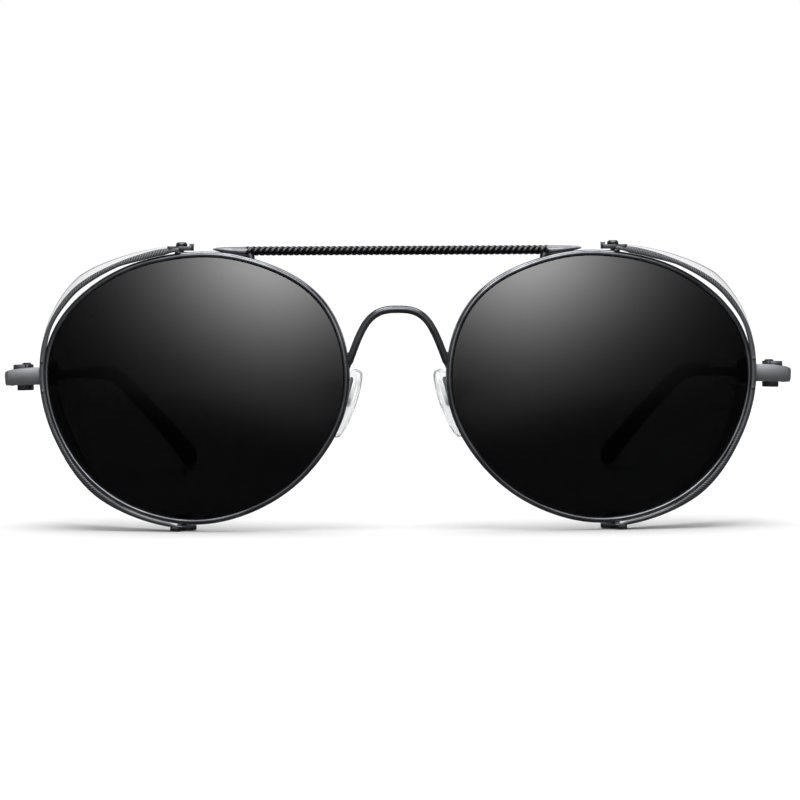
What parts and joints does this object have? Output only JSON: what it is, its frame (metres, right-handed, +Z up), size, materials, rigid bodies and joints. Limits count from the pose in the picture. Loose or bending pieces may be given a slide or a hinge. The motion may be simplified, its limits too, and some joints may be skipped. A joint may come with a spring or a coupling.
{
  "type": "sunglasses with side shields",
  "caption": "Round metal sunglasses with a twisted wire brow bar, a low arched bridge, swinging side shields and folding temples.",
  "frame": {"origin": "middle of the footprint at ground level, under the line between the two temples", "axes": "+X to the wearer's left, +Y back along the temples, +Z up; the lenses face -Y"},
  "size_m": [0.1458, 0.1495, 0.0532],
  "materials": {
    "gunmetal": "satin gunmetal plating",
    "dark_metal": "dark satin plating on the small solid pieces",
    "screw_metal": "dark plated screws",
    "engraved_band": "gunmetal with a fine slanting engraved pattern",
    "shield_sheet": "satin plated sheet",
    "smoked_lens": "polished dark neutral grey",
    "tip_plastic": "smooth black",
    "silicone": "clear soft silicone"
  },
  "bodies": {
    "front": {"left_rim": "gunmetal", "right_rim": "gunmetal", "left_lens": "smoked_lens", "right_lens": "smoked_lens", "bridge": "gunmetal", "brow_twist": "gunmetal", "left_brow_terminal": "gunmetal", "right_brow_terminal": "gunmetal", "left_end_piece": "gunmetal", "right_end_piece": "gunmetal", "left_closing_block": "dark_metal", "right_closing_block": "dark_metal", "left_front_hinge": "dark_metal", "right_front_hinge": "dark_metal", "left_shield_lugs": "dark_metal", "right_shield_lugs": "dark_metal", "left_pad_arm": "gunmetal", "right_pad_arm": "gunmetal", "left_pad_box": "dark_metal", "right_pad_box": "dark_metal", "closing_screws": "screw_metal", "hinge_screws": "screw_metal", "shield_screws": "screw_metal", "pad_screws": "screw_metal"},
    "left_temple": {"left_temple_arm": "gunmetal", "left_temple_hinge": "dark_metal", "left_temple_tip": "tip_plastic"},
    "left_shield": {"left_shield_band": "engraved_band", "left_upper_wing": "shield_sheet", "left_lower_wing": "shield_sheet", "left_shield_tabs": "dark_metal"},
    "left_pad": {"left_nose_pad": "silicone", "left_pad_insert": "dark_metal"},
    "right_temple": {"right_temple_arm": "gunmetal", "right_temple_hinge": "dark_metal", "right_temple_tip": "tip_plastic"},
    "right_shield": {"right_shield_band": "engraved_band", "right_upper_wing": "shield_sheet", "right_lower_wing": "shield_sheet", "right_shield_tabs": "dark_metal"},
    "right_pad": {"right_nose_pad": "silicone", "right_pad_insert": "dark_metal"}
  },
  "joints": [
    {"name": "left_temple_fold", "type": "hinge", "parent": "front", "child": "left_temple", "pos_m": [0.06915, -0.06456, 0.0283], "axis": [0, 0, 1], "range_deg": [0, 77]},
    {"name": "left_shield_swing", "type": "hinge", "parent": "front", "child": "left_shield", "pos_m": [0.03967, -0.06891, 0], "axis": [0, 0, -1], "range_deg": [0, 40]},
    {"name": "left_pad_rock", "type": "hinge", "parent": "front", "child": "left_pad", "pos_m": [0.01073, -0.06402, 0.02591], "axis": [0.4226, 0.9063, 0], "range_deg": [-10, 10]},
    {"name": "right_temple_fold", "type": "hinge", "parent": "front", "child": "right_temple", "pos_m": [-0.06915, -0.06456, 0.0283], "axis": [0, 0, -1], "range_deg": [0, 68]},
    {"name": "right_shield_swing", "type": "hinge", "parent": "front", "child": "right_shield", "pos_m": [-0.03967, -0.06891, 0], "axis": [0, 0, 1], "range_deg": [0, 40]},
    {"name": "right_pad_rock", "type": "hinge", "parent": "front", "child": "right_pad", "pos_m": [-0.01073, -0.06402, 0.02591], "axis": [-0.4226, 0.9063, 0], "range_deg": [-10, 10]}
  ]
}
